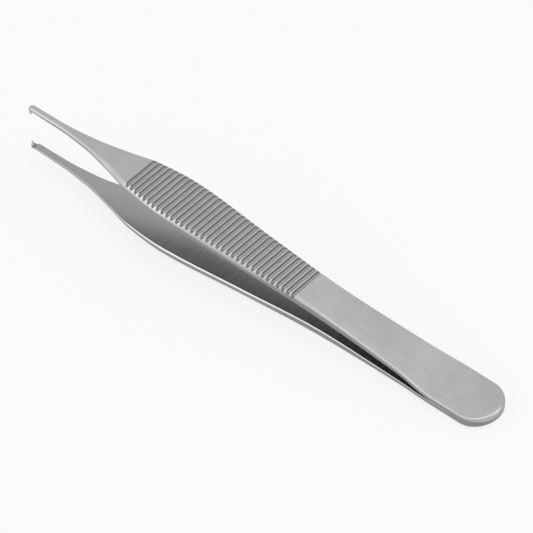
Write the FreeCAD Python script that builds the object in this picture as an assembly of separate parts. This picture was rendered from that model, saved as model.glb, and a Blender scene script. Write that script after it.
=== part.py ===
"""Fine-tipped toothed thumb forceps.

Two sprung steel arms lie face to face at the heel, where they are welded, and
stand apart from there to the tips. Each arm is one forged and ground blade: a
plate at the heel, a thinner spring zone, a broad cross-grooved grip with
bevelled edges, and a slender half-round point. The upper arm ends in two teeth
with a notch between them, and the lower arm in one tooth that fits the notch.

Both arms are shaped in the same frame: X runs along the instrument from the
heel end to the tips, Y across it, and Z from the plane between the arms to the
outside. The lower arm is then mirrored in that plane, and the pair is laid
down as it rests on a table, on the heel and on the swell of the lower grip.
"""
import FreeCAD, Part
import math
import os

from FreeCAD import Vector

# Millimetres throughout
LENGTH = 120.0

# Heel, where the arms are welded together
HEEL_WIDTH = 10.95
HEEL_THICKNESS = 1.15       # of one arm
HEEL_ROUNDING = 5.2         # how far the rounded end reaches along the arm
SEAM_LENGTH = 11.8          # from the heel end to where the arms part

# Spring zone, thinned so that the arms flex there
SPRING_DISTANCE = 21.2      # from the heel end
SPRING_WIDTH = 9.4
SPRING_GAP = 1.65           # between the inner faces of the two arms
SPRING_THICKNESS = 1.1

# Waist, the narrowest place between heel and grip
WAIST_DISTANCE = 41.4       # from the heel end
WAIST_WIDTH = 8.15
WAIST_GAP = 3.2
WAIST_THICKNESS = 1.75

# Rear of the grip
REAR_GRIP_DISTANCE = 59.5   # from the heel end
REAR_GRIP_WIDTH = 9.7
REAR_GRIP_GAP = 5.55
REAR_GRIP_THICKNESS = 1.95

# Broadest place of the grip, under the thumb
GRIP_DISTANCE = 40.3        # from the tips
GRIP_WIDTH = 11.5
GRIP_GAP = 8.0
GRIP_THICKNESS = 2.0

# Shoulder, where the grip starts to narrow
SHOULDER_DISTANCE = 30.3    # from the tips
SHOULDER_WIDTH = 9.65
SHOULDER_GAP = 9.25
SHOULDER_THICKNESS = 1.62

# Flank, the steep taper from grip to point
FLANK_DISTANCE = 24.2       # from the tips
FLANK_WIDTH = 6.65
FLANK_GAP = 9.7
FLANK_THICKNESS = 1.34

# Neck of the point
NECK_DISTANCE = 16.1        # from the tips
NECK_WIDTH = 3.0
NECK_GAP = 9.75
NECK_THICKNESS = 1.08

# Slender point
POINT_DISTANCE = 8.1        # from the tips
POINT_WIDTH = 1.66
POINT_GAP = 9.8
POINT_THICKNESS = 0.95

# Tip, with a nose that is round in plan
TIP_WIDTH = 1.58
TIP_GAP = 9.9
TIP_THICKNESS = 0.8

# Rounded or bevelled outer edges: how far in over the face, how far down the
# side, and how full, from a flat bevel at 0 to a full round at 1
HEEL_EDGE_IN = 0.5
HEEL_EDGE_DOWN = 0.5
HEEL_EDGE_FULLNESS = 0.6
WAIST_EDGE_IN = 0.5
WAIST_EDGE_DOWN = 0.5
WAIST_EDGE_FULLNESS = 0.2
GRIP_EDGE_IN = 0.9
GRIP_EDGE_DOWN = 0.8
GRIP_EDGE_FULLNESS = 0.2
TIP_EDGE_IN = 0.68
TIP_EDGE_DOWN = 0.55
TIP_EDGE_FULLNESS = 0.7

# Cross grooves of the grip
GROOVE_DISTANCE = 30.05     # from the tips to the first groove
GROOVE_PITCH = 1.25
GROOVE_COUNT = 35
GROOVE_WIDTH = 0.82
GROOVE_DEPTH = 0.32

# Single tooth of the lower arm, on a tip cut down to both sides of it
TOOTH_RISE = 0.8            # above the inner face
TOOTH_LENGTH = 0.62
TOOTH_SET_BACK = 0.12       # from the end of the tip
TOOTH_FOOT_WIDTH = 0.7
TOOTH_CREST_WIDTH = 0.1
TOOTH_CREST_FALL = 0.32     # how far the crest falls towards the heel
BITE_SHOULDER_DROP = 0.42   # how far the blade is cut down beside the tooth
BITE_SLOPE_RUN = 0.5        # length of the slope down to those shoulders
BITE_LENGTH = 1.4           # from the end of the tip back to the top of the slope

# Two teeth of the upper arm, with a notch that takes the single tooth
TWIN_TEETH_DROP = 0.85      # below the inner face
TWIN_TEETH_NOSE = 0.45      # run and fall of their sloped front
TWIN_TEETH_INSET = 0.04     # from the sides and the nose of the tip
BITE_CLEARANCE = 0.1

OVERSIZE = 2.0              # how far cutters reach past what they cut
QUARTER_ROUND = 0.5523      # share of a radius that makes a cubic curve a quarter circle

# The sections of an arm between its two rounded ends
NOSE_RADIUS = TIP_WIDTH / 2
PLACES = [SEAM_LENGTH, SPRING_DISTANCE, WAIST_DISTANCE, REAR_GRIP_DISTANCE,
          LENGTH - GRIP_DISTANCE, LENGTH - SHOULDER_DISTANCE, LENGTH - FLANK_DISTANCE,
          LENGTH - NECK_DISTANCE, LENGTH - POINT_DISTANCE, LENGTH - NOSE_RADIUS]
WIDTHS = [HEEL_WIDTH, SPRING_WIDTH, WAIST_WIDTH, REAR_GRIP_WIDTH, GRIP_WIDTH,
          SHOULDER_WIDTH, FLANK_WIDTH, NECK_WIDTH, POINT_WIDTH, TIP_WIDTH]
GAPS = [0.0, SPRING_GAP, WAIST_GAP, REAR_GRIP_GAP, GRIP_GAP,
        SHOULDER_GAP, FLANK_GAP, NECK_GAP, POINT_GAP, TIP_GAP]
THICKNESSES = [HEEL_THICKNESS, SPRING_THICKNESS, WAIST_THICKNESS, REAR_GRIP_THICKNESS,
               GRIP_THICKNESS, SHOULDER_THICKNESS, FLANK_THICKNESS, NECK_THICKNESS,
               POINT_THICKNESS, TIP_THICKNESS]
HEEL_EDGE = (HEEL_EDGE_IN, HEEL_EDGE_DOWN, HEEL_EDGE_FULLNESS)
WAIST_EDGE = (WAIST_EDGE_IN, WAIST_EDGE_DOWN, WAIST_EDGE_FULLNESS)
GRIP_EDGE = (GRIP_EDGE_IN, GRIP_EDGE_DOWN, GRIP_EDGE_FULLNESS)
TIP_EDGE = (TIP_EDGE_IN, TIP_EDGE_DOWN, TIP_EDGE_FULLNESS)
EDGES = [HEEL_EDGE, HEEL_EDGE, WAIST_EDGE, GRIP_EDGE, GRIP_EDGE,
         GRIP_EDGE, GRIP_EDGE, TIP_EDGE, TIP_EDGE, TIP_EDGE]


def poles_through(values, opens_at_once=False):
    """Pole values of a smooth line with one value at each place and no overshoot."""
    runs = [after - before for before, after in zip(PLACES, PLACES[1:])]
    rates = [(after - before) / run for before, after, run in zip(values, values[1:], runs)]
    slopes = [rates[0] if opens_at_once else 0.0]
    for before, after in zip(rates, rates[1:]):
        turns_back = before * after <= 0
        slopes.append(0.0 if turns_back else 2 * before * after / (before + after))
    slopes.append(0.0)
    poles = [values[0]]
    for i, run in enumerate(runs):
        poles.append(values[i] + slopes[i] * run / 3)
        poles.append(values[i + 1] - slopes[i + 1] * run / 3)
    poles.append(values[-1])
    return poles


def places_of_poles():
    """Where along X the poles of every smooth line lie."""
    poles = [PLACES[0]]
    for before, after in zip(PLACES, PLACES[1:]):
        third = (after - before) / 3
        poles.append(before + third)
        poles.append(after - third)
    poles.append(PLACES[-1])
    return poles


def blade_rail(sides, heights):
    """Poles of a line along the blade, from half widths and heights at their places."""
    return [Vector(x, y, z) for x, y, z in zip(places_of_poles(), sides, heights)]


def round_rail(centre_x, end_x, side, height):
    """Poles of a quarter round in plan, from the middle of an end out to the side."""
    reach = end_x - centre_x
    return [Vector(end_x, 0, height),
            Vector(end_x, QUARTER_ROUND * side, height),
            Vector(centre_x + QUARTER_ROUND * reach, side, height),
            Vector(centre_x, side, height)]


def straight_rail(start, end):
    """Poles of a straight line, as a cubic."""
    return [start, start + (end - start) / 3, end - (end - start) / 3, end]


def knots_of(poles):
    """Knots and their multiplicities for a rail: one span, or one for each place."""
    if len(poles) == 4:
        return [0.0, 1.0], [4, 4]
    return PLACES, [4] + (len(PLACES) - 2) * [2] + [4]


def rail_curve(poles):
    """Curve on the poles of a rail. On a blade rail its parameter is X."""
    knots, multiplicities = knots_of(poles)
    curve = Part.BSplineCurve()
    curve.buildFromPolesMultsKnots(poles, multiplicities, knots, False, 3)
    return curve


def skin(rails):
    """Surface over two rails, or over three where the middle one is a corner line."""
    knots, multiplicities = knots_of(rails[0])
    degree = len(rails) - 1
    surface = Part.BSplineSurface()
    surface.buildFromPolesMultsKnots(rails, [degree + 1, degree + 1], multiplicities,
                                     [0.0, 1.0], knots, False, False, degree, 3)
    return surface.toShape()


def mirrored(rail):
    """The same rail on the other side of the arm."""
    return [Vector(pole.x, -pole.y, pole.z) for pole in rail]


def flat_between(rail):
    """Flat face between a level rail and its mirror image."""
    other_side = mirrored(rail)
    edges = [rail_curve(rail).toShape(),
             Part.LineSegment(rail[-1], other_side[-1]).toShape(),
             rail_curve(other_side).toShape()]
    if rail[0].y > 0:
        edges.append(Part.LineSegment(other_side[0], rail[0]).toShape())
    return Part.Face(Part.Wire(edges))


def edge_rail(side_rail, top_rail, fullness):
    """Middle poles of the rounded edge between the side and the outer face."""
    rail = []
    for low, high, full in zip(side_rail, top_rail, fullness):
        middle = (low + high) / 2
        corner = Vector(low.x, low.y, high.z)
        rail.append(middle + (corner - middle) * full)
    return rail


def wrap(inner, side, top, fullness, is_level):
    """Faces of one stretch of an arm: inner face, sides, edges and outer face."""
    edge = edge_rail(side, top, fullness)
    faces = []
    for turn in (list, mirrored):
        faces.append(skin([turn(inner), turn(side)]))
        faces.append(skin([turn(side), turn(edge), turn(top)]))
    if is_level:
        faces.append(flat_between(inner))
        faces.append(flat_between(top))
    else:
        faces.append(skin([inner, mirrored(inner)]))
        faces.append(skin([top, mirrored(top)]))
    return faces


def round_end(centre_x, end_x, half_width, inner_height, back_height, edge):
    """Faces of the heel end or of the nose."""
    edge_in, edge_down, fullness = edge
    inward = math.copysign(edge_in, centre_x - end_x)
    inner = round_rail(centre_x, end_x, half_width, inner_height)
    side = round_rail(centre_x, end_x, half_width, back_height - edge_down)
    top = round_rail(centre_x, end_x + inward, half_width - edge_in, back_height)
    return wrap(inner, side, top, 4 * [fullness], True)


def heel_plate():
    """Faces of the straight stretch between the heel end and the end of the seam."""
    def rail(side, height):
        return straight_rail(Vector(HEEL_ROUNDING, side, height),
                             Vector(SEAM_LENGTH, side, height))
    half = HEEL_WIDTH / 2
    inner = rail(half, 0.0)
    side = rail(half, HEEL_THICKNESS - HEEL_EDGE_DOWN)
    top = rail(half - HEEL_EDGE_IN, HEEL_THICKNESS)
    return wrap(inner, side, top, 4 * [HEEL_EDGE_FULLNESS], True)


def back_heights():
    """Heights of the outer face above the mid plane at the places."""
    return [gap / 2 + thickness for gap, thickness in zip(GAPS, THICKNESSES)]


def back_line():
    """Line along the outer face, whose parameter is X."""
    return rail_curve(blade_rail(len(places_of_poles()) * [0.0], poles_through(back_heights())))


def side_line():
    """Line along the side, whose parameter is X."""
    sides = poles_through([width / 2 for width in WIDTHS])
    return rail_curve(blade_rail(sides, len(sides) * [0.0]))


def long_blade():
    """Faces of the arm from the end of the seam to the nose."""
    sides = poles_through([width / 2 for width in WIDTHS])
    flats = poles_through([width / 2 - edge[0] for width, edge in zip(WIDTHS, EDGES)])
    edge_feet = poles_through([back - edge[1] for back, edge in zip(back_heights(), EDGES)])
    backs = poles_through(back_heights())
    faces = poles_through([gap / 2 for gap in GAPS], opens_at_once=True)
    fullness = poles_through([edge[2] for edge in EDGES])
    return wrap(blade_rail(sides, faces), blade_rail(sides, edge_feet),
                blade_rail(flats, backs), fullness, False)


def grooves():
    """Round-bottomed cutters across the grip, one for each groove."""
    radius = (GROOVE_WIDTH ** 2 / 4 + GROOVE_DEPTH ** 2) / (2 * GROOVE_DEPTH)
    back = back_line()
    side = side_line()
    cutters = []
    for step in range(GROOVE_COUNT):
        x = LENGTH - GROOVE_DISTANCE - step * GROOVE_PITCH
        reach = side.value(x).y + OVERSIZE
        height = back.value(x).z + radius - GROOVE_DEPTH
        cutters.append(Part.makeCylinder(radius, 2 * reach, Vector(x, -reach, height),
                                         Vector(0, 1, 0)))
    return cutters


def blade():
    """An arm without its teeth, with the grooves cut across its grip."""
    faces = round_end(HEEL_ROUNDING, 0.0, HEEL_WIDTH / 2, 0.0, HEEL_THICKNESS, HEEL_EDGE)
    faces += heel_plate()
    faces += long_blade()
    faces += round_end(LENGTH - NOSE_RADIUS, LENGTH, NOSE_RADIUS, TIP_GAP / 2,
                       TIP_GAP / 2 + TIP_THICKNESS, TIP_EDGE)
    shell = Part.makeShell(faces)
    shell.sewShape()
    body = Part.makeSolid(shell).removeSplitter()
    if body.Volume < 0:
        body.reverse()
    return body.cut(grooves())


def box_between(x_low, x_high, y_half, z_low, z_high):
    """A block that is centred across the arm."""
    corner = Vector(x_low, -y_half, z_low)
    return Part.makeBox(x_high - x_low, 2 * y_half, z_high - z_low, corner)


def extrude_outline(points, direction):
    """A prism on a closed outline of straight lines."""
    closed = points + points[:1]
    return Part.Face(Part.makePolygon(closed)).extrude(direction)


def side_prism(points, half_width):
    """A prism across the arm on an outline of (x, z) points."""
    outline = [Vector(x, -half_width, z) for x, z in points]
    return extrude_outline(outline, Vector(0, 2 * half_width, 0))


def front_prism(points, x_low, x_high):
    """A prism along the arm on an outline of (y, z) points."""
    outline = [Vector(x_low, y, z) for y, z in points]
    return extrude_outline(outline, Vector(x_high - x_low, 0, 0))


def tip_nose():
    """Prism on the plan of the tip, which bounds what stands on it."""
    radius = NOSE_RADIUS - TWIN_TEETH_INSET
    low = TIP_GAP / 2 - TWIN_TEETH_DROP - OVERSIZE
    high = TIP_GAP / 2 + TIP_THICKNESS
    centre = Vector(LENGTH - NOSE_RADIUS, 0, low)
    round_end = Part.makeCylinder(radius, high - low, centre)
    return round_end.fuse(box_between(LENGTH - BITE_LENGTH - OVERSIZE, centre.x,
                                      radius, low, high))


def tooth_outline(clearance):
    """Outline (y, z) of the single tooth, or of the notch that takes it."""
    foot = TIP_GAP / 2 + BITE_SHOULDER_DROP
    crest = TIP_GAP / 2 - TOOTH_RISE - clearance
    foot_half = TOOTH_FOOT_WIDTH / 2 + clearance
    crest_half = TOOTH_CREST_WIDTH / 2 + clearance
    return [(-foot_half, foot), (foot_half, foot), (crest_half, crest), (-crest_half, crest)]


def single_tooth():
    """Pointed blade that stands on the tip, falling towards the heel."""
    front = LENGTH - TOOTH_SET_BACK
    back = front - TOOTH_LENGTH
    foot = TIP_GAP / 2 + BITE_SHOULDER_DROP
    crest = TIP_GAP / 2 - TOOTH_RISE
    profile = [(back, foot), (front, foot), (front, crest), (back, crest + TOOTH_CREST_FALL)]
    slab = side_prism(profile, TOOTH_FOOT_WIDTH)
    return slab.common(front_prism(tooth_outline(0.0), back, front))


def bite_cutter():
    """What is ground away from the tip beside the single tooth."""
    top = LENGTH - BITE_LENGTH
    face = TIP_GAP / 2
    floor = face + BITE_SHOULDER_DROP
    profile = [(top, face), (top + BITE_SLOPE_RUN, floor), (LENGTH + OVERSIZE, floor),
               (LENGTH + OVERSIZE, face - OVERSIZE), (top, face - OVERSIZE)]
    return side_prism(profile, TIP_WIDTH)


def twin_teeth():
    """Two teeth side by side under the nose of the tip, before their notch is cut."""
    root = LENGTH - BITE_LENGTH
    face = TIP_GAP / 2
    low = face - TWIN_TEETH_DROP
    profile = [(root, face + TIP_THICKNESS / 4), (root, face), (root + BITE_SLOPE_RUN, low),
               (LENGTH - TWIN_TEETH_NOSE, low), (LENGTH, low + TWIN_TEETH_NOSE),
               (LENGTH, face + TIP_THICKNESS / 4)]
    return side_prism(profile, TIP_WIDTH).common(tip_nose())


def twin_notch():
    """The notch between the two teeth, where the single tooth goes in on closing."""
    root = LENGTH - BITE_LENGTH
    rise = TIP_GAP + BITE_SHOULDER_DROP - TWIN_TEETH_DROP
    outline = [(y, rise - z) for y, z in tooth_outline(BITE_CLEARANCE)]
    return front_prism(outline, root, LENGTH + OVERSIZE)


def upper_arm(plain):
    """The arm with two teeth."""
    return plain.fuse(twin_teeth()).cut(twin_notch())


def lower_arm(plain):
    """The arm with one tooth, mirrored below the plane between the arms."""
    toothed = plain.cut(bite_cutter()).fuse(single_tooth())
    return toothed.mirror(Vector(0, 0, 0), Vector(0, 0, 1))


def rest_tilt():
    """Angle in degrees that lays heel and lower grip on one level."""
    back = back_line()
    steepest = 0.0
    for x in range(math.ceil(PLACES[1]), math.floor(PLACES[-1])):
        fall = back.value(x).z - HEEL_THICKNESS
        steepest = max(steepest, fall / (x - HEEL_EDGE_IN))
    return math.degrees(math.atan(steepest))


def laid_down(arms):
    """The arms turned to their resting level and set down over the origin."""
    for arm in arms:
        arm.rotate(Vector(0, 0, 0), Vector(0, 1, 0), -rest_tilt())
    bounds = Part.makeCompound(arms).optimalBoundingBox(False)
    shift = Vector(-bounds.Center.x, -bounds.Center.y, -bounds.ZMin)
    for arm in arms:
        arm.translate(shift)
    return arms


def main():
    plain = blade()
    upper, lower = laid_down([upper_arm(plain), lower_arm(plain)])
    os.makedirs("parts", exist_ok=True)
    upper.exportStep("parts/upper_arm.step")
    lower.exportStep("parts/lower_arm.step")
    print("tilt", round(rest_tilt(), 3))
    for name, arm in (("upper_arm", upper), ("lower_arm", lower)):
        print(name, arm.ShapeType, len(arm.Solids), "valid", arm.isValid(),
              "volume", round(arm.Volume, 2), "faces", len(arm.Faces))


main()
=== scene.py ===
"""Looks of a pair of fine-tipped toothed thumb forceps, laid on a pale floor.

Each arm is a sheet that is wrapped round the blade's section, row by row from the heel to the
nose, with the grooves of the grip pressed into its rows. Teeth are cut from a block on the plan
of the nose. Arms are shaped along their own axis and then laid down at their resting tilt.
"""

import math

import bmesh
import bpy
from bpy.props import FloatProperty, FloatVectorProperty, IntProperty, PointerProperty
from bpy.types import Operator, Panel, PropertyGroup
from mathutils import Matrix, Vector


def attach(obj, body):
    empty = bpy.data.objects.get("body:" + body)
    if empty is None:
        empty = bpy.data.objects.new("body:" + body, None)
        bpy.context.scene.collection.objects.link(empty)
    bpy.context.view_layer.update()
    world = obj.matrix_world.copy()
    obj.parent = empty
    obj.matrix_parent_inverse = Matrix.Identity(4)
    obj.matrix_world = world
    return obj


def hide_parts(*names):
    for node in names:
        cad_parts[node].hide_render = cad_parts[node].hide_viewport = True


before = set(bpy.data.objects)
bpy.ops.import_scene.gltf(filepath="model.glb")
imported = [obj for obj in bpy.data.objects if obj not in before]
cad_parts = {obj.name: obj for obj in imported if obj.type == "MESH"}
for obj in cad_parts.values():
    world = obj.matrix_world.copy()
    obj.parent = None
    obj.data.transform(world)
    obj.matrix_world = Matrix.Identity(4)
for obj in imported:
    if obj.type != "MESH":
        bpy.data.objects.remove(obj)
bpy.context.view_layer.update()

bl_info = {
    "name": "Thumb Forceps",
    "version": (1, 0, 0),
    "blender": (4, 5, 0),
    "location": "View3D > Sidebar > Forceps",
    "description": "Builds a pair of toothed thumb forceps and its studio",
    "category": "Object",
}

MM = 0.001

# Sections of an arm between the end of the heel's seam and the nose, in millimetres:
# distance from the heel end, width, gap between the arms, thickness of one arm
SECTIONS = (
    (11.8, 10.95, 0.0, 1.15),
    (21.2, 9.4, 1.65, 1.1),
    (41.4, 8.15, 3.2, 1.75),
    (59.5, 9.7, 5.55, 1.95),
    (79.7, 11.5, 8.0, 2.0),
    (89.7, 9.65, 9.25, 1.62),
    (95.8, 6.65, 9.7, 1.34),
    (103.9, 3.0, 9.75, 1.08),
    (111.9, 1.66, 9.8, 0.95),
    (119.21, 1.58, 9.9, 0.8),
)

# Outer edge at those sections: how far in over the face, how far down the side, how full
HEEL_EDGE = (0.25, 0.25, 0.4)
WAIST_EDGE = (0.3, 0.3, 0.2)
GRIP_EDGE = (0.9, 0.8, 0.2)
TIP_EDGE = (0.68, 0.55, 0.7)
EDGES = (HEEL_EDGE, HEEL_EDGE, WAIST_EDGE, GRIP_EDGE, GRIP_EDGE,
         GRIP_EDGE, GRIP_EDGE, TIP_EDGE, TIP_EDGE, TIP_EDGE)

# Inner edge at those sections: radius that the stoning leaves on it
INNER_EDGES = (0.06, 0.12, 0.28, 0.42, 0.44, 0.34, 0.22, 0.12, 0.08, 0.08)

# Stretch over which that radius fades to nothing on the weld
WELD_FADE = (6.5, 10.5)

# How much wider and deeper the bevel grows round the end of the heel
HEEL_BEVEL_GROWTH = (0.6, 0.45)

# How far the corners above and below the bevel are rounded, at those sections
CORNERS = (0.1, 0.1, 0.13, 0.17, 0.18, 0.17, 0.15, 0.1, 0.08, 0.06)

# Length of an arm, of its rounded heel end and of the bite at its nose; run of the slope at the
# root of the bite, and how deep the lower arm is ground away in front of it
ARM_LENGTH = 120.0
HEEL_ROUNDING = 5.2
BITE_LENGTH = 1.4
BITE_SLOPE_RUN = 0.5
SHOULDER_DROP = 0.42

# The single tooth: half widths at its foot and crest, length, distance from the nose, how far
# its crest falls towards the heel, and how far its root reaches into the arm
TOOTH_FOOT_HALF = 0.35
TOOTH_CREST_HALF = 0.05
TOOTH_LENGTH = 0.62
TOOTH_SET_BACK = 0.12
TOOTH_FALL = 0.32
TOOTH_ROOT = 0.1

# The notch that takes it: clearance on each side, and how much deeper its shape is drawn, so
# that it passes right through the teeth
NOTCH_CLEARANCE = 0.1
NOTCH_REACH = 1.08

# The block of the twin teeth: inset from the nose, root inside the arm, how much of its lower
# front corner is cut off, and how far its slope starts in front of the blade's own row there
BLOCK_INSET = 0.04
BLOCK_ROOT = 0.2
BLOCK_FRONT_CUT = 0.45
SLOPE_CLEARANCE = 0.02

# Rows of the sheet: number round the heel's end and in a quarter turn of the nose, distance
# between rows behind the grip and in front of it, and room left next to the rows of the grip
HEEL_ROWS = 24
NOSE_ROWS = 12
REAR_STEP = 0.75
FRONT_STEP = 0.45
REAR_ROOM = 0.5
FRONT_ROOM = 0.3

# Rows across a groove as shares of its half width, and the shares between which its floor lies
GROOVE_SHARES = (-1.0, -0.9, -0.72, -0.5, -0.25, 0.0, 0.25, 0.5, 0.72, 0.9)
# Outside these shares the groove's walls get their painted shade
GROOVE_FLOOR = (-0.3, 0.2)

# Lanes of the brushed sheet for the sides and the inner faces, and how much a way in over the
# face counts as a climb on it
SIDE_LANE = 30.0
INNER_LANE = 90.0
INSET_CLIMB = 0.7

# Points of the sheet nearer than the first are joined, edges shorter than the second are
# dissolved, and places within the third count as the same
MERGE = 0.002
SLIVER = 0.0005
TOUCH = 0.001

# Where two faces meet at more than this, the shading has a crisp line
CRISP_ANGLE = math.radians(28)

# How the arms lie on the floor: tilt of their common axis, and where its heel end comes
REST_TILT = math.radians(3.5667)
REST_SHIFT = Vector((-60.0011, 0.0, 1.1168)) * MM

# The view of the photograph
PHOTO_SIZE = 533
VIEW_AZIMUTH = math.radians(223.535)
VIEW_ELEVATION = math.radians(44.340)
VIEW_ROLL = math.radians(-4.082)
VIEW_DISTANCE = 0.838738
FOCAL_PIXELS = 4308.6
SENSOR_WIDTH = 36.0
AIM = Vector((-1.524, -1.128, 4.695)) * MM

# Reach of the floor to each side, where the lamps stand and how large they are, in metres
FLOOR_REACH = 6.0
KEY_PLACE = (-0.15, -0.05, 0.95)
KEY_SIZE = (0.9, 0.9)
EDGE_PLACE = (0.47, 0.6, 0.52)
EDGE_SIZE = (0.4, 0.6)
HEEL_PLACE = (-0.62, -0.5, 0.55)
HEEL_SIZE = (0.35, 0.3)

# Stretch of the arm over which its grinding marks deepen towards the tips, and their share before
MARKS_DEEPEN = (86.0, 104.0)
MARKS_BEFORE = 0.35

# Roughness of the two finishes whose gloss doesn't vary
WALL_ROUGHNESS = 0.45
SIDE_ROUGHNESS = 0.36

# Faces of an arm, by their finish; the walls and sides get painted shade, the inner faces partly
SATIN = 0
GROUND = 1
POLISHED = 2
MILLED = 3
WALL = 4
SIDE = 5

# Strips of the wrapped sheet, by where they lie on the section
INNER_STRIP = 0
SIDE_STRIP = 1
OUTER_STRIP = 2


class ForcepsArms(PropertyGroup):
    """Sizes of the arms that a user may change."""
    groove_count: IntProperty(
        name="Grooves", description="Number of cross grooves on each grip", default=35, min=0)
    groove_distance: FloatProperty(
        name="First Groove", description="Distance from the tips to the first groove",
        default=30.05 * MM, unit="LENGTH", precision=5)
    groove_pitch: FloatProperty(
        name="Groove Pitch", description="Distance from one groove to the next",
        default=1.25 * MM, unit="LENGTH", precision=5)
    groove_width: FloatProperty(
        name="Groove Width", description="Width of a groove at the face of the grip",
        default=0.82 * MM, unit="LENGTH", precision=5)
    groove_depth: FloatProperty(
        name="Groove Depth", description="Depth of a groove in the middle",
        default=0.32 * MM, unit="LENGTH", precision=5)
    tooth_rise: FloatProperty(
        name="Tooth Rise", description="How far the single tooth stands above the inner face",
        default=0.8 * MM, unit="LENGTH", precision=5)
    twin_drop: FloatProperty(
        name="Twin Teeth", description="How far the twin teeth reach below the inner face",
        default=0.85 * MM, unit="LENGTH", precision=5)


class ForcepsSteel(PropertyGroup):
    """Colours and gloss of the steel that a user may change."""
    steel: FloatVectorProperty(
        name="Steel", description="Colour of the satin steel", subtype="COLOR",
        size=3, min=0.0, max=1.0, default=(0.412, 0.412, 0.412))
    edge_steel: FloatVectorProperty(
        name="Polished Steel", description="Colour of the polished edges", subtype="COLOR",
        size=3, min=0.0, max=1.0, default=(0.50, 0.50, 0.50))
    # Painted shade: the groove walls are given a much darker steel than the faces
    walls: FloatVectorProperty(
        name="Groove Walls", description="Colour of the walls of the grooves", subtype="COLOR",
        size=3, min=0.0, max=1.0, default=(0.17, 0.17, 0.17))
    # Painted shade: the sides are given a darker steel than the faces
    side_steel_shaded: FloatVectorProperty(
        name="Sides", description="Colour of the sides of the arms", subtype="COLOR",
        size=3, min=0.0, max=1.0, default=(0.27, 0.27, 0.27))
    # Partly painted shade: the inner faces get darker steel for the shade between the arms
    ground: FloatVectorProperty(
        name="Ground Steel", description="Colour of the ground inner faces", subtype="COLOR",
        size=3, min=0.0, max=1.0, default=(0.32, 0.32, 0.32))
    satin_roughness: FloatProperty(
        name="Satin Roughness", description="Roughness of the brushed faces",
        default=0.3, min=0.0, max=1.0, subtype="FACTOR")
    edge_roughness: FloatProperty(
        name="Edge Roughness", description="Roughness of the polished edges",
        default=0.2, min=0.0, max=1.0, subtype="FACTOR")
    brushing: FloatProperty(
        name="Brushing", description="Width of one brushed streak",
        default=0.09 * MM, unit="LENGTH", precision=5)
    grinding: FloatProperty(
        name="Grinding", description="Distance between grinding marks on the inner faces",
        default=0.3 * MM, unit="LENGTH", precision=5)


class ForcepsStudio(PropertyGroup):
    """Floor and lights that a user may change."""
    floor_colour: FloatVectorProperty(
        name="Floor", description="Colour of the floor", subtype="COLOR",
        size=3, min=0.0, max=1.0, default=(0.92, 0.92, 0.92))
    floor_glow: FloatProperty(
        name="Floor Glow", description="Share of plain white in the floor as it is seen",
        default=0.8, min=0.0, max=1.0, subtype="FACTOR")
    key_power: FloatProperty(
        name="Key Light", description="Power of the large soft light", default=2.6,
        min=0.0, unit="POWER")
    edge_power: FloatProperty(
        name="Edge Light", description="Power of the light along the near edge", default=1.05,
        min=0.0, unit="POWER")
    heel_power: FloatProperty(
        name="Heel Light", description="Power of the light on the end of the heel", default=0.55,
        min=0.0, unit="POWER")
    fill: FloatProperty(
        name="Fill", description="Strength of the light from all round", default=0.55, min=0.0)


def smooth_line(values, opens_at_once=False):
    """A function of the distance along the arm, through one value at each section."""
    places = [section[0] for section in SECTIONS]
    runs = [after - before for before, after in zip(places, places[1:])]
    rates = [(after - before) / run for before, after, run in zip(values, values[1:], runs)]
    slopes = [rates[0] if opens_at_once else 0.0]
    for before, after in zip(rates, rates[1:]):
        turns_back = before * after <= 0
        slopes.append(0.0 if turns_back else 2 * before * after / (before + after))
    slopes.append(0.0)

    def value_at(place):
        if place <= places[0]:
            return values[0]
        if place >= places[-1]:
            return values[-1]
        i = max(n for n, start in enumerate(places[:-1]) if start <= place)
        t = (place - places[i]) / runs[i]
        rise = (3 - 2 * t) * t * t
        return (values[i] + (values[i + 1] - values[i]) * rise
                + slopes[i] * runs[i] * t * (1 - t) * (1 - t)
                - slopes[i + 1] * runs[i] * t * t * (1 - t))
    return value_at


HALF_WIDTH = smooth_line([section[1] / 2 for section in SECTIONS])
INNER_FACE = smooth_line([section[2] / 2 for section in SECTIONS], opens_at_once=True)
OUTER_FACE = smooth_line([section[2] / 2 + section[3] for section in SECTIONS])
FLAT_HALF = smooth_line([section[1] / 2 - edge[0] for section, edge in zip(SECTIONS, EDGES)])
EDGE_FOOT = smooth_line([section[2] / 2 + section[3] - edge[1]
                         for section, edge in zip(SECTIONS, EDGES)])
FULLNESS = smooth_line([edge[2] for edge in EDGES])
INNER_RADIUS = smooth_line(INNER_EDGES)
CORNER = smooth_line(CORNERS)

EDGE_STEPS = 11
INNER_STEPS = 5
CORNER_STEPS = 5
NOSE_RADIUS = SECTIONS[-1][1] / 2


def curve_point(start, middle, end, t):
    """A point on a quadratic curve in the plane."""
    return ((1 - t) ** 2 * start[0] + 2 * t * (1 - t) * middle[0] + t * t * end[0],
            (1 - t) ** 2 * start[1] + 2 * t * (1 - t) * middle[1] + t * t * end[1])


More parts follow.
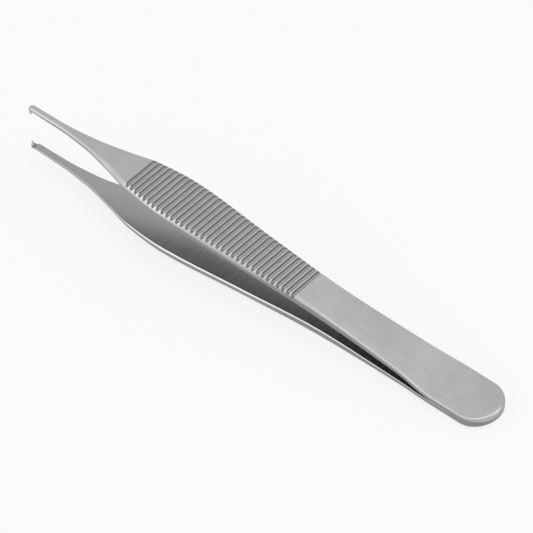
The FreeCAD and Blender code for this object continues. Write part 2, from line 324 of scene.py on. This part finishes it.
def section_points(place, end_share):
    """Half a section as insets from the side, heights and finishes, inside to outside."""
    half = HALF_WIDTH(place)
    inner = INNER_FACE(place)
    outer = OUTER_FACE(place)
    wider, deeper = HEEL_BEVEL_GROWTH
    foot = (0.0, EDGE_FOOT(place) - deeper * end_share)
    head = (half - FLAT_HALF(place) + wider * end_share, outer)
    fade = (place - WELD_FADE[0]) / (WELD_FADE[1] - WELD_FADE[0])
    # Neither the inner radius nor the rounded corners may take up the whole side
    radius = min(INNER_RADIUS(place), 0.6 * (foot[1] - inner)) * min(max(fade, 0.0), 1.0)
    corner = min(CORNER(place), 0.3 * (foot[1] - inner), 0.25 * (half - head[0]) + 0.02)
    # The inner face takes the ground steel, whose darker colour is partly painted shade
    points = [(half, inner, GROUND, INNER_STRIP), (half / 2, inner, GROUND, INNER_STRIP),
              (min(radius + 0.15, 0.45 * half + 0.1), inner, GROUND, INNER_STRIP)]
    for step in range(INNER_STEPS + 1):
        turn = math.pi / 2 * step / INNER_STEPS
        points.append((radius * (1 - math.sin(turn)), inner + radius * (1 - math.cos(turn)),
                       SIDE if step == INNER_STEPS else POLISHED, SIDE_STRIP))
    low = inner + radius
    high = foot[1] - corner
    # The side rows take the sides' darker steel, which is painted shade
    points.append((0.0, (2 * low + high) / 3, SIDE, SIDE_STRIP))
    points.append((0.0, (low + 2 * high) / 3, SIDE, SIDE_STRIP))
    fullness = FULLNESS(place)
    middle = (head[0] / 2 * (1 - fullness),
              (foot[1] + outer) / 2 + (outer - foot[1]) / 2 * fullness)
    first = corner / (2 * math.dist(foot, middle))
    last = 1 - corner / (2 * math.dist(middle, head))
    above_foot = curve_point(foot, middle, head, first)
    below_head = curve_point(foot, middle, head, last)
    for step in range(CORNER_STEPS):
        x, z = curve_point((0.0, high), foot, above_foot, step / CORNER_STEPS)
        points.append((x, z, POLISHED, SIDE_STRIP))
    for step in range(EDGE_STEPS + 1):
        x, z = curve_point(foot, middle, head, first + (last - first) * step / EDGE_STEPS)
        points.append((x, z, SATIN, SIDE_STRIP))
    for step in range(1, CORNER_STEPS + 1):
        x, z = curve_point(below_head, head, (head[0] + corner, outer), step / CORNER_STEPS)
        points.append((x, z, SATIN, OUTER_STRIP))
    room = half - head[0] - corner
    points.append((head[0] + corner + 0.45 * room, outer, SATIN, OUTER_STRIP))
    points.append((half, outer, SATIN, OUTER_STRIP))
    return points


def cut_down(points, level):
    """The half section with its inner part ground away down to a level."""
    inset = 0.0
    for before, after in zip(points, points[1:]):
        if before[1] < level <= after[1]:
            share = (level - before[1]) / (after[1] - before[1])
            inset = before[0] + (after[0] - before[0]) * share
    return [(max(x, inset), level, finish, strip) if z < level else (x, z, finish, strip)
            for x, z, finish, strip in points]


def groove_rows(arms):
    """Rows of the grip: place, how deep the groove is there, and the finish after it."""
    width = arms.groove_width / MM
    depth = arms.groove_depth / MM
    radius = (width ** 2 / 4 + depth ** 2) / (2 * depth)
    rows = []
    for number in reversed(range(arms.groove_count)):
        middle = ARM_LENGTH - arms.groove_distance / MM - number * arms.groove_pitch / MM
        for share in GROOVE_SHARES:
            across = share * width / 2
            fall = depth - radius + math.sqrt(radius ** 2 - across ** 2)
            is_floor = GROOVE_FLOOR[0] < share < GROOVE_FLOOR[1]
            # Rows outside the floor get the walls' darker steel, which is painted shade
            rows.append((middle + across, 0.0, max(fall, 0.0), MILLED if is_floor else WALL))
        rows.append((middle + width / 2, 0.0, 0.0, None))
        rows.append((middle + arms.groove_pitch / MM / 2, 0.0, 0.0, None))
    return rows


def blade_rows(arms):
    """Every row of an arm: place, turn round an end, groove depth, finish in the groove."""
    grip = groove_rows(arms)
    rows = [(HEEL_ROUNDING, -math.pi / 2 * (1 - step / HEEL_ROWS), 0.0, None)
            for step in range(HEEL_ROWS)]
    place = HEEL_ROUNDING
    while place < grip[0][0] - REAR_ROOM:
        rows.append((place, 0.0, 0.0, None))
        place += REAR_STEP
    rows += grip
    place = grip[-1][0] + FRONT_ROOM
    while place < ARM_LENGTH - BITE_LENGTH - FRONT_ROOM:
        rows.append((place, 0.0, 0.0, None))
        place += FRONT_STEP
    rows.append((ARM_LENGTH - BITE_LENGTH, 0.0, 0.0, None))
    rows.append((ARM_LENGTH - BITE_LENGTH + BITE_SLOPE_RUN, 0.0, 0.0, None))
    end = ARM_LENGTH - NOSE_RADIUS
    rows += [(end, math.pi / 2 * step / NOSE_ROWS, 0.0, None) for step in range(NOSE_ROWS + 1)]
    return rows


def full_section(row, is_lower):
    """A whole section as points: x, y, z, finish, whether pressed, strip, place on the side."""
    place, turn, deep, _ = row
    end_share = math.sin(turn) ** 2 if turn < 0 else 0.0
    points = section_points(place, end_share)
    if is_lower and place > ARM_LENGTH - BITE_LENGTH:
        run = (place - ARM_LENGTH + BITE_LENGTH) / BITE_SLOPE_RUN
        points = cut_down(points, INNER_FACE(place) + SHOULDER_DROP * min(run, 1.0))
    half = HALF_WIDTH(place)
    outer = OUTER_FACE(place)
    reach = NOSE_RADIUS if turn > 0 else HEEL_ROUNDING
    section = []
    for inset, height, finish, strip in points:
        share = (half - inset) / half
        along = place + reach * share * math.sin(turn)
        across = half * share * math.cos(turn)
        down_bevel = max(0.0, 1 - inset / (half - FLAT_HALF(place)))
        pressed = min(height, outer - deep * (1 + down_bevel))
        section.append((along, across, pressed, finish, pressed < height - 1e-6, strip,
                        (place + reach * turn, SIDE_LANE + height + INSET_CLIMB * inset)))
    return section + [(x, -y, z, finish, pressed, strip, (sheet[0], SIDE_LANE + sheet[1]))
                      for x, y, z, finish, pressed, strip, sheet in section[-2::-1]]


def place_on_sheet(point, strip):
    """Where a point lies on the brushed sheet: on a face by its plan, on a side by its climb."""
    if strip == SIDE_STRIP:
        return [part * MM for part in point[6]]
    lane = INNER_LANE if strip == INNER_STRIP else 0.0
    return [point[0] * MM, (point[1] + lane) * MM]


def wrap_blade(arms, is_lower):
    """The arm without its teeth, as a sheet wrapped round the sections."""
    rows = blade_rows(arms)
    sections = [full_section(row, is_lower) for row in rows]
    columns = len(sections[0])
    mesh = bmesh.new()
    bmesh.ops.create_grid(mesh, x_segments=len(rows) - 1, y_segments=columns - 1, size=0.5)
    uv = mesh.loops.layers.uv.new("along_and_round")
    spots = {}
    for vertex in mesh.verts:
        spots[vertex] = (round((vertex.co.x + 0.5) * (len(rows) - 1)),
                         round((vertex.co.y + 0.5) * (columns - 1)))
    for vertex, (row, column) in spots.items():
        vertex.co = Vector(sections[row][column][:3]) * MM
    for face in mesh.faces:
        row = min(spots[vertex][0] for vertex in face.verts)
        column = min(spots[vertex][1] for vertex in face.verts)
        ends = (column, column + 1)
        towards_side = column if column < columns // 2 else column + 1
        face.material_index = sections[row][towards_side][3]
        is_pressed = any(sections[line][end][4] for line in (row, row + 1) for end in ends)
        # Pressed faces on the bevel get the walls' darker steel too, as painted shade
        if rows[row][3] is not None and is_pressed:
            on_bevel = sections[row][towards_side][5] == SIDE_STRIP
            face.material_index = WALL if on_bevel else rows[row][3]
        face.smooth = True
        strip = sections[row][towards_side][5]
        for loop in face.loops:
            row, column = spots[loop.vert]
            loop[uv].uv = place_on_sheet(sections[row][column], strip)
    bmesh.ops.remove_doubles(mesh, verts=mesh.verts, dist=MERGE * MM)
    bmesh.ops.dissolve_degenerate(mesh, edges=mesh.edges, dist=SLIVER * MM)
    bmesh.ops.recalc_face_normals(mesh, faces=mesh.faces)
    return mesh


def lay_down(mesh, side):
    """Turns a shape to its arm's side, and tilts and moves it to where it rests."""
    bmesh.ops.scale(mesh, vec=(1.0, 1.0, side), verts=mesh.verts)
    bmesh.ops.rotate(mesh, cent=(0.0, 0.0, 0.0), verts=mesh.verts,
                     matrix=Matrix.Rotation(-REST_TILT, 3, "Y"))
    bmesh.ops.translate(mesh, vec=REST_SHIFT, verts=mesh.verts)
    bmesh.ops.recalc_face_normals(mesh, faces=mesh.faces)


def object_from(mesh, name, materials):
    """An object at the origin that holds the shape."""
    data = bpy.data.meshes.new(name)
    mesh.to_mesh(data)
    mesh.free()
    for material in materials:
        data.materials.append(material)
    made = bpy.data.objects.new(name, data)
    bpy.context.scene.collection.objects.link(made)
    return made


def keep_side(mesh, point, outward):
    """Cuts a convex shape with a plane and closes it."""
    geometry = mesh.verts[:] + mesh.edges[:] + mesh.faces[:]
    cut = bmesh.ops.bisect_plane(mesh, geom=geometry, plane_co=Vector(point) * MM,
                                 plane_no=Vector(outward), clear_outer=True)
    rim = [item for item in cut["geom_cut"] if isinstance(item, bmesh.types.BMEdge)]
    if rim:
        bmesh.ops.holes_fill(mesh, edges=mesh.edges, sides=0)


def nose_block(low, high, inset):
    """A block on the plan of the nose, from the root of the bite to its round end."""
    radius = NOSE_RADIUS - inset
    centre = ARM_LENGTH - NOSE_RADIUS
    mesh = bmesh.new()
    bmesh.ops.create_circle(mesh, cap_ends=True, segments=4 * NOSE_ROWS,
                            radius=radius * MM)
    bmesh.ops.translate(mesh, vec=(centre * MM, 0.0, low * MM), verts=mesh.verts)
    rear = [vertex for vertex in mesh.verts if vertex.co.x < centre * MM - 1e-7]
    for vertex in rear:
        vertex.co.x = (ARM_LENGTH - BITE_LENGTH) * MM
        vertex.co.y = math.copysign(radius * MM, vertex.co.y)
    bmesh.ops.remove_doubles(mesh, verts=mesh.verts, dist=TOUCH * MM)
    lifted = bmesh.ops.extrude_face_region(mesh, geom=mesh.faces[:])
    top = [item for item in lifted["geom"] if isinstance(item, bmesh.types.BMVert)]
    bmesh.ops.translate(mesh, vec=(0.0, 0.0, (high - low) * MM), verts=top)
    bmesh.ops.recalc_face_normals(mesh, faces=mesh.faces)
    return mesh


def tooth_wedge(arms, clearance, back, front, crest_fall):
    """The single tooth, or the shape of the notch that takes it."""
    foot = INNER_FACE(ARM_LENGTH) + SHOULDER_DROP
    crest = INNER_FACE(ARM_LENGTH) - arms.tooth_rise / MM - clearance
    mesh = bmesh.new()
    bmesh.ops.create_cube(mesh, size=1.0)
    for vertex in mesh.verts:
        is_foot = vertex.co.z > 0
        half = (TOOTH_FOOT_HALF if is_foot else TOOTH_CREST_HALF) + clearance
        at_front = vertex.co.x > 0
        height = foot if is_foot else crest + (0.0 if at_front else crest_fall)
        vertex.co = Vector((front if at_front else back,
                            math.copysign(half, vertex.co.y), height)) * MM
    bmesh.ops.recalc_face_normals(mesh, faces=mesh.faces)
    return mesh


def reach_past(notch, reach):
    """Draws the open side of the notch's shape on along its own slopes, past the teeth."""
    crest = max(vertex.co.z for vertex in notch.verts)
    narrow = min(abs(vertex.co.y) for vertex in notch.verts)
    for vertex in notch.verts:
        if abs(vertex.co.y) > narrow + TOUCH * MM:
            vertex.co.z = crest + (vertex.co.z - crest) * reach
            wide = narrow + (abs(vertex.co.y) - narrow) * reach
            vertex.co.y = math.copysign(wide, vertex.co.y)


def twin_block(arms):
    """The two teeth of the upper arm, before their notch is cut."""
    face = INNER_FACE(ARM_LENGTH)
    low = face - arms.twin_drop / MM
    root = ARM_LENGTH - BITE_LENGTH
    mesh = nose_block(low, face + BLOCK_ROOT, BLOCK_INSET)
    slope = Vector((face - low, 0.0, BITE_SLOPE_RUN)).normalized()
    keep_side(mesh, (root + SLOPE_CLEARANCE, 0.0, face), (-slope.x, 0.0, -slope.z))
    keep_side(mesh, (ARM_LENGTH - BLOCK_FRONT_CUT, 0.0, low), (1.0, 0.0, -1.0))
    return mesh


def boolean_into(target, tool_mesh, operation, side):
    """Joins a small shape to an arm, or cuts it out."""
    for face in tool_mesh.faces:
        face.smooth = True
        face.material_index = POLISHED
    lay_down(tool_mesh, side)
    tool = object_from(tool_mesh, target.name + "_" + operation.lower(),
                       target.data.materials[:])
    cut = target.modifiers.new("bite", "BOOLEAN")
    cut.operation = operation
    cut.solver = "EXACT"
    cut.object = tool
    graph = bpy.context.evaluated_depsgraph_get()
    result = bpy.data.meshes.new_from_object(target.evaluated_get(graph))
    target.modifiers.clear()
    old = target.data
    target.data = result
    bpy.data.meshes.remove(old)
    bpy.data.objects.remove(tool)


def sharpen(made, angle):
    """Smooth shading with a crisp line wherever faces meet at more than the angle."""
    mesh = bmesh.new()
    mesh.from_mesh(made.data)
    bmesh.ops.dissolve_degenerate(mesh, edges=mesh.edges, dist=SLIVER * MM)
    for face in mesh.faces:
        face.smooth = True
    for edge in mesh.edges:
        edge.smooth = edge.calc_face_angle(0.0) < angle
    mesh.to_mesh(made.data)
    mesh.free()


def new_material(name):
    """A metal material, with its node tree and its shader."""
    material = bpy.data.materials.new(name)
    material.use_nodes = True
    tree = material.node_tree
    tree.nodes.clear()
    output = tree.nodes.new("ShaderNodeOutputMaterial")
    shader = tree.nodes.new("ShaderNodeBsdfPrincipled")
    shader.inputs["Metallic"].default_value = 1.0
    tree.links.new(shader.outputs["BSDF"], output.inputs["Surface"])
    return material, tree, shader


def streaks(tree, along, across, detail=4.0):
    """Noise on the wrapped sheet, drawn out along it or across it. Sizes in metres."""
    place = tree.nodes.new("ShaderNodeUVMap")
    place.uv_map = "along_and_round"
    mapping = tree.nodes.new("ShaderNodeMapping")
    mapping.inputs["Scale"].default_value = (1.0 / along, 1.0 / across, 1.0)
    noise = tree.nodes.new("ShaderNodeTexNoise")
    noise.inputs["Scale"].default_value = 1.0
    noise.inputs["Detail"].default_value = detail
    noise.inputs["Roughness"].default_value = 0.6
    tree.links.new(place.outputs["UV"], mapping.inputs["Vector"])
    tree.links.new(mapping.outputs["Vector"], noise.inputs["Vector"])
    return noise.outputs["Fac"]


def along_arm(tree, start, end, low, high):
    """A value that goes from low to high between two distances along the arm, in millimetres."""
    place = tree.nodes.new("ShaderNodeUVMap")
    place.uv_map = "along_and_round"
    parts = tree.nodes.new("ShaderNodeSeparateXYZ")
    tree.links.new(place.outputs["UV"], parts.inputs["Vector"])
    return spread(tree, parts.outputs["X"], low, high, start * MM, end * MM)


def blotches(tree, size, detail=3.0):
    """Noise on object coordinates, the same in every direction."""
    place = tree.nodes.new("ShaderNodeTexCoord")
    noise = tree.nodes.new("ShaderNodeTexNoise")
    noise.inputs["Scale"].default_value = 1.0 / size
    noise.inputs["Detail"].default_value = detail
    tree.links.new(place.outputs["Object"], noise.inputs["Vector"])
    return noise.outputs["Fac"]


def spread(tree, value, low, high, start=0.3, end=0.7):
    """Brings a noise value to a range."""
    node = tree.nodes.new("ShaderNodeMapRange")
    node.inputs["From Min"].default_value = start
    node.inputs["From Max"].default_value = end
    node.inputs["To Min"].default_value = low
    node.inputs["To Max"].default_value = high
    tree.links.new(value, node.inputs["Value"])
    return node.outputs["Result"]


def combine(tree, operation, first, second):
    """One value made of two: their sum, their product or the larger one."""
    node = tree.nodes.new("ShaderNodeMath")
    node.operation = operation
    tree.links.new(first, node.inputs[0])
    tree.links.new(second, node.inputs[1])
    return node.outputs["Value"]


def tint(tree, shader, value, colour, dark, bright):
    """Gives a shader a colour that the value makes darker or brighter."""
    ramp = tree.nodes.new("ShaderNodeMix")
    ramp.data_type = "RGBA"
    ramp.inputs["A"].default_value = [channel * dark for channel in colour] + [1.0]
    ramp.inputs["B"].default_value = [channel * bright for channel in colour] + [1.0]
    tree.links.new(value, ramp.inputs["Factor"])
    tree.links.new(ramp.outputs["Result"], shader.inputs["Base Color"])


def roughen(tree, shader, value, roughness, below, above):
    """Lets the roughness of a shader go from a little below its value to a little above."""
    varied = spread(tree, value, roughness - below, roughness + above)
    tree.links.new(varied, shader.inputs["Roughness"])


def raise_by(tree, shader, height, distance, strength=1.0):
    """Bump on a shader."""
    bump = tree.nodes.new("ShaderNodeBump")
    bump.inputs["Distance"].default_value = distance
    bump.inputs["Strength"].default_value = strength
    tree.links.new(height, bump.inputs["Height"])
    tree.links.new(bump.outputs["Normal"], shader.inputs["Normal"])


def satin_steel(steel):
    """Steel brushed along the arm, with faint long streaks and cloudy patches."""
    material, tree, shader = new_material("satin_steel_brushed")
    fine = streaks(tree, 5.0 * MM, steel.brushing)
    broad = streaks(tree, 14.0 * MM, 6.0 * steel.brushing, 2.0)
    clouds = blotches(tree, 7.0 * MM)
    both = combine(tree, "MULTIPLY", spread(tree, broad, 0.6, 1.0), spread(tree, clouds, 0.6, 1.0))
    tint(tree, shader, spread(tree, both, 0.0, 1.0, 0.35, 1.0), steel.steel, 0.92, 1.06)
    gloss = combine(tree, "ADD", spread(tree, fine, -0.05, 0.05),
                    spread(tree, clouds, steel.satin_roughness - 0.03,
                           steel.satin_roughness + 0.04))
    tree.links.new(gloss, shader.inputs["Roughness"])
    raise_by(tree, shader, fine, 0.004 * MM, 0.6)
    return material


def ground_steel_and_shade(steel):
    """Steel ground across the arm, marks deepest near the tips; darker, partly as painted shade.
    """
    material, tree, shader = new_material("satin_steel_ground_and_shade")
    marks = streaks(tree, steel.grinding, 6.0 * MM, 3.0)
    strength = along_arm(tree, *MARKS_DEEPEN, MARKS_BEFORE, 1.0)
    cut = combine(tree, "MULTIPLY", spread(tree, marks, -1.0, 1.0), strength)
    tint(tree, shader, spread(tree, cut, 0.0, 1.0, -1.0, 1.0), steel.ground, 0.87, 1.11)
    roughen(tree, shader, marks, steel.satin_roughness, 0.05, 0.08)
    raise_by(tree, shader, cut, 0.006 * MM, 0.5)
    return material


def polished_steel(steel):
    """Bright edges with a few faint scratches along them."""
    material, tree, shader = new_material("satin_steel_polished")
    scratches = streaks(tree, 3.0 * MM, steel.brushing)
    tint(tree, shader, spread(tree, scratches, 0.0, 1.0), steel.edge_steel, 0.95, 1.04)
    roughen(tree, shader, scratches, steel.edge_roughness, 0.03, 0.05)
    raise_by(tree, shader, scratches, 0.002 * MM, 0.5)
    return material


def milled_steel(steel):
    """Floors of the grooves, with the marks of the cutter across the arm."""
    material, tree, shader = new_material("satin_steel_milled")
    marks = streaks(tree, 0.5 * steel.brushing, 2.0 * MM)
    tint(tree, shader, spread(tree, marks, 0.0, 1.0), steel.steel, 0.85, 1.0)
    roughen(tree, shader, marks, steel.satin_roughness, 0.02, 0.08)
    raise_by(tree, shader, marks, 0.003 * MM, 0.5)
    return material


def wall_shade_steel(steel):
    """Steep walls of the grooves, with painted shade: much darker steel than the faces."""
    material, tree, shader = new_material("satin_steel_walls_shaded")
    marks = streaks(tree, 3.0 * MM, steel.brushing)
    tint(tree, shader, spread(tree, marks, 0.0, 1.0), steel.walls, 0.85, 1.1)
    shader.inputs["Roughness"].default_value = WALL_ROUGHNESS
    return material


def side_steel_shaded(steel):
    """Sides of the arms, ground along, a little rougher, and darkened as painted shade."""
    material, tree, shader = new_material("satin_steel_sides_shaded")
    fine = streaks(tree, 4.0 * MM, 0.6 * steel.brushing)
    tint(tree, shader, spread(tree, fine, 0.0, 1.0), steel.side_steel_shaded, 0.92, 1.06)
    shader.inputs["Roughness"].default_value = SIDE_ROUGHNESS
    raise_by(tree, shader, fine, 0.003 * MM, 0.5)
    return material


def finishes_and_painted_shade(scene):
    """The materials of the steel, with their painted shade, in the order of their face numbers."""
    steel = scene.forceps_steel
    makers = (satin_steel, ground_steel_and_shade, polished_steel, milled_steel, wall_shade_steel, side_steel_shaded)
    names = ("satin_steel_brushed", "satin_steel_ground_and_shade", "satin_steel_polished",
             "satin_steel_milled", "satin_steel_walls_shaded", "satin_steel_sides_shaded")
    return [bpy.data.materials.get(name) or maker(steel) for name, maker in zip(names, makers)]


def hand_over(made, node):
    """Puts a finished arm in the place of its node."""
    sharpen(made, CRISP_ANGLE)
    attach(made, "root")
    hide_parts(node)


class FORCEPS_OT_upper_arm(Operator):
    """Builds the upper arm with its two teeth"""
    bl_idname = "forceps.upper_arm"
    bl_label = "Upper Arm"

    def execute(self, context):
        arms = context.scene.forceps_arms
        blade = wrap_blade(arms, False)
        lay_down(blade, 1.0)
        arm = object_from(blade, "toothed_upper_arm", finishes_and_painted_shade(context.scene))
        boolean_into(arm, twin_block(arms), "UNION", 1.0)
        notch = tooth_wedge(arms, NOTCH_CLEARANCE, ARM_LENGTH - BITE_LENGTH, ARM_LENGTH + 1.0, 0.0)
        turn_over = 2 * INNER_FACE(ARM_LENGTH) + SHOULDER_DROP
        for vertex in notch.verts:
            vertex.co.z = (turn_over - arms.twin_drop / MM) * MM - vertex.co.z
        reach_past(notch, NOTCH_REACH)
        bmesh.ops.recalc_face_normals(notch, faces=notch.faces)
        boolean_into(arm, notch, "DIFFERENCE", 1.0)
        hand_over(arm, "upper_arm")
        return {"FINISHED"}


class FORCEPS_OT_lower_arm(Operator):
    """Builds the lower arm with its single tooth"""
    bl_idname = "forceps.lower_arm"
    bl_label = "Lower Arm"

    def execute(self, context):
        arms = context.scene.forceps_arms
        blade = wrap_blade(arms, True)
        lay_down(blade, -1.0)
        arm = object_from(blade, "toothed_lower_arm", finishes_and_painted_shade(context.scene))
        front = ARM_LENGTH - TOOTH_SET_BACK
        tooth = tooth_wedge(arms, 0.0, front - TOOTH_LENGTH, front, TOOTH_FALL)
        for vertex in tooth.verts:
            if vertex.co.z > INNER_FACE(ARM_LENGTH) * MM:
                vertex.co.z += TOOTH_ROOT * MM
        boolean_into(arm, tooth, "UNION", -1.0)
        hand_over(arm, "lower_arm")
        return {"FINISHED"}


def seen_or_mirrored(tree):
    """1 for rays that come from the camera, from gloss or through glass, 0 for the others."""
    path = tree.nodes.new("ShaderNodeLightPath")
    seen = combine(tree, "MAXIMUM", path.outputs["Is Camera Ray"], path.outputs["Is Glossy Ray"])
    return combine(tree, "MAXIMUM", seen, path.outputs["Is Transmission Ray"])


def white_world(studio):
    """A world that is white to the eye and in reflections, and a softer fill for the rest."""
    world = bpy.data.worlds.new("white_studio")
    bpy.context.scene.world = world
    world.use_nodes = True
    tree = world.node_tree
    tree.nodes.clear()
    output = tree.nodes.new("ShaderNodeOutputWorld")
    background = tree.nodes.new("ShaderNodeBackground")
    background.inputs["Color"].default_value = (1.0, 1.0, 1.0, 1.0)
    strength = tree.nodes.new("ShaderNodeMapRange")
    strength.inputs["To Min"].default_value = studio.fill
    strength.inputs["To Max"].default_value = 1.0
    tree.links.new(seen_or_mirrored(tree), strength.inputs["Value"])
    tree.links.new(strength.outputs["Result"], background.inputs["Strength"])
    tree.links.new(background.outputs["Background"], output.inputs["Surface"])


def pale_floor(studio):
    """A large plain floor that keeps the shadow of the forceps."""
    mesh = bmesh.new()
    bmesh.ops.create_grid(mesh, x_segments=1, y_segments=1, size=FLOOR_REACH)
    material = bpy.data.materials.new("pale_floor")
    material.use_nodes = True
    tree = material.node_tree
    tree.nodes.clear()
    output = tree.nodes.new("ShaderNodeOutputMaterial")
    matt = tree.nodes.new("ShaderNodeBsdfDiffuse")
    matt.inputs["Color"].default_value = [*studio.floor_colour, 1.0]
    glow = tree.nodes.new("ShaderNodeEmission")
    glow.inputs["Color"].default_value = (1.0, 1.0, 1.0, 1.0)
    glow.inputs["Strength"].default_value = 1.0
    share = tree.nodes.new("ShaderNodeMapRange")
    share.inputs["To Min"].default_value = 0.0
    share.inputs["To Max"].default_value = studio.floor_glow
    mix = tree.nodes.new("ShaderNodeMixShader")
    tree.links.new(seen_or_mirrored(tree), share.inputs["Value"])
    tree.links.new(share.outputs["Result"], mix.inputs["Fac"])
    tree.links.new(matt.outputs["BSDF"], mix.inputs[1])
    tree.links.new(glow.outputs["Emission"], mix.inputs[2])
    tree.links.new(mix.outputs["Shader"], output.inputs["Surface"])
    floor = object_from(mesh, "floor", [material])


def area_light(name, place, size, power):
    """A soft square or long light that faces the middle of the floor."""
    data = bpy.data.lights.new(name, "AREA")
    data.energy = power
    data.shape = "RECTANGLE"
    data.size, data.size_y = size
    lamp = bpy.data.objects.new(name, data)
    lamp.location = place
    lamp.rotation_euler = (-Vector(place)).to_track_quat("-Z", "Y").to_euler()
    bpy.context.scene.collection.objects.link(lamp)


def photo_camera():
    """The camera at the angle and distance of the photograph."""
    back = Vector((math.sin(VIEW_AZIMUTH) * math.cos(VIEW_ELEVATION),
                   -math.cos(VIEW_AZIMUTH) * math.cos(VIEW_ELEVATION),
                   math.sin(VIEW_ELEVATION)))
    level = Vector((math.cos(VIEW_AZIMUTH), math.sin(VIEW_AZIMUTH), 0.0))
    upright = back.cross(level)
    right = level * math.cos(VIEW_ROLL) + upright * math.sin(VIEW_ROLL)
    above = back.cross(right)
    data = bpy.data.cameras.new("photo_camera")
    data.sensor_width = SENSOR_WIDTH
    data.lens = FOCAL_PIXELS / PHOTO_SIZE * SENSOR_WIDTH
    data.clip_start = 0.01
    data.clip_end = 50.0
    camera = bpy.data.objects.new("photo_camera", data)
    turn = Matrix((right, above, back)).transposed().to_4x4()
    camera.matrix_world = Matrix.Translation(AIM + back * VIEW_DISTANCE) @ turn
    bpy.context.scene.collection.objects.link(camera)
    bpy.context.scene.camera = camera


class FORCEPS_OT_stage(Operator):
    """Sets up the floor, the lights and the camera"""
    bl_idname = "forceps.stage"
    bl_label = "Stage"

    def execute(self, context):
        studio = context.scene.forceps_studio
        context.scene.view_settings.view_transform = "Standard"
        white_world(studio)
        pale_floor(studio)
        area_light("key_light", KEY_PLACE, KEY_SIZE, studio.key_power)
        area_light("edge_light", EDGE_PLACE, EDGE_SIZE, studio.edge_power)
        area_light("heel_light", HEEL_PLACE, HEEL_SIZE, studio.heel_power)
        photo_camera()
        return {"FINISHED"}


class FORCEPS_PT_panel(Panel):
    """Panel in the sidebar of the 3D view"""
    bl_idname = "FORCEPS_PT_panel"
    bl_label = "Forceps"
    bl_space_type = "VIEW_3D"
    bl_region_type = "UI"
    bl_category = "Forceps"

    def draw(self, context):
        layout = self.layout
        for group in (context.scene.forceps_arms, context.scene.forceps_steel,
                      context.scene.forceps_studio):
            box = layout.box()
            for name in group.bl_rna.properties.keys():
                if name not in {"rna_type", "name"}:
                    box.prop(group, name)
        for operator in OPERATORS:
            layout.operator(operator.bl_idname)


GROUPS = (ForcepsArms, ForcepsSteel, ForcepsStudio)
OPERATORS = (FORCEPS_OT_upper_arm, FORCEPS_OT_lower_arm, FORCEPS_OT_stage)


def register():
    for cls in GROUPS + OPERATORS + (FORCEPS_PT_panel,):
        bpy.utils.register_class(cls)
    bpy.types.Scene.forceps_arms = PointerProperty(type=ForcepsArms)
    bpy.types.Scene.forceps_steel = PointerProperty(type=ForcepsSteel)
    bpy.types.Scene.forceps_studio = PointerProperty(type=ForcepsStudio)


def unregister():
    del bpy.types.Scene.forceps_studio
    del bpy.types.Scene.forceps_steel
    del bpy.types.Scene.forceps_arms
    for cls in reversed(GROUPS + OPERATORS + (FORCEPS_PT_panel,)):
        bpy.utils.unregister_class(cls)


def main():
    register()
    bpy.ops.forceps.upper_arm()
    bpy.ops.forceps.lower_arm()
    bpy.ops.forceps.stage()


if __name__ == "__main__":
    main()
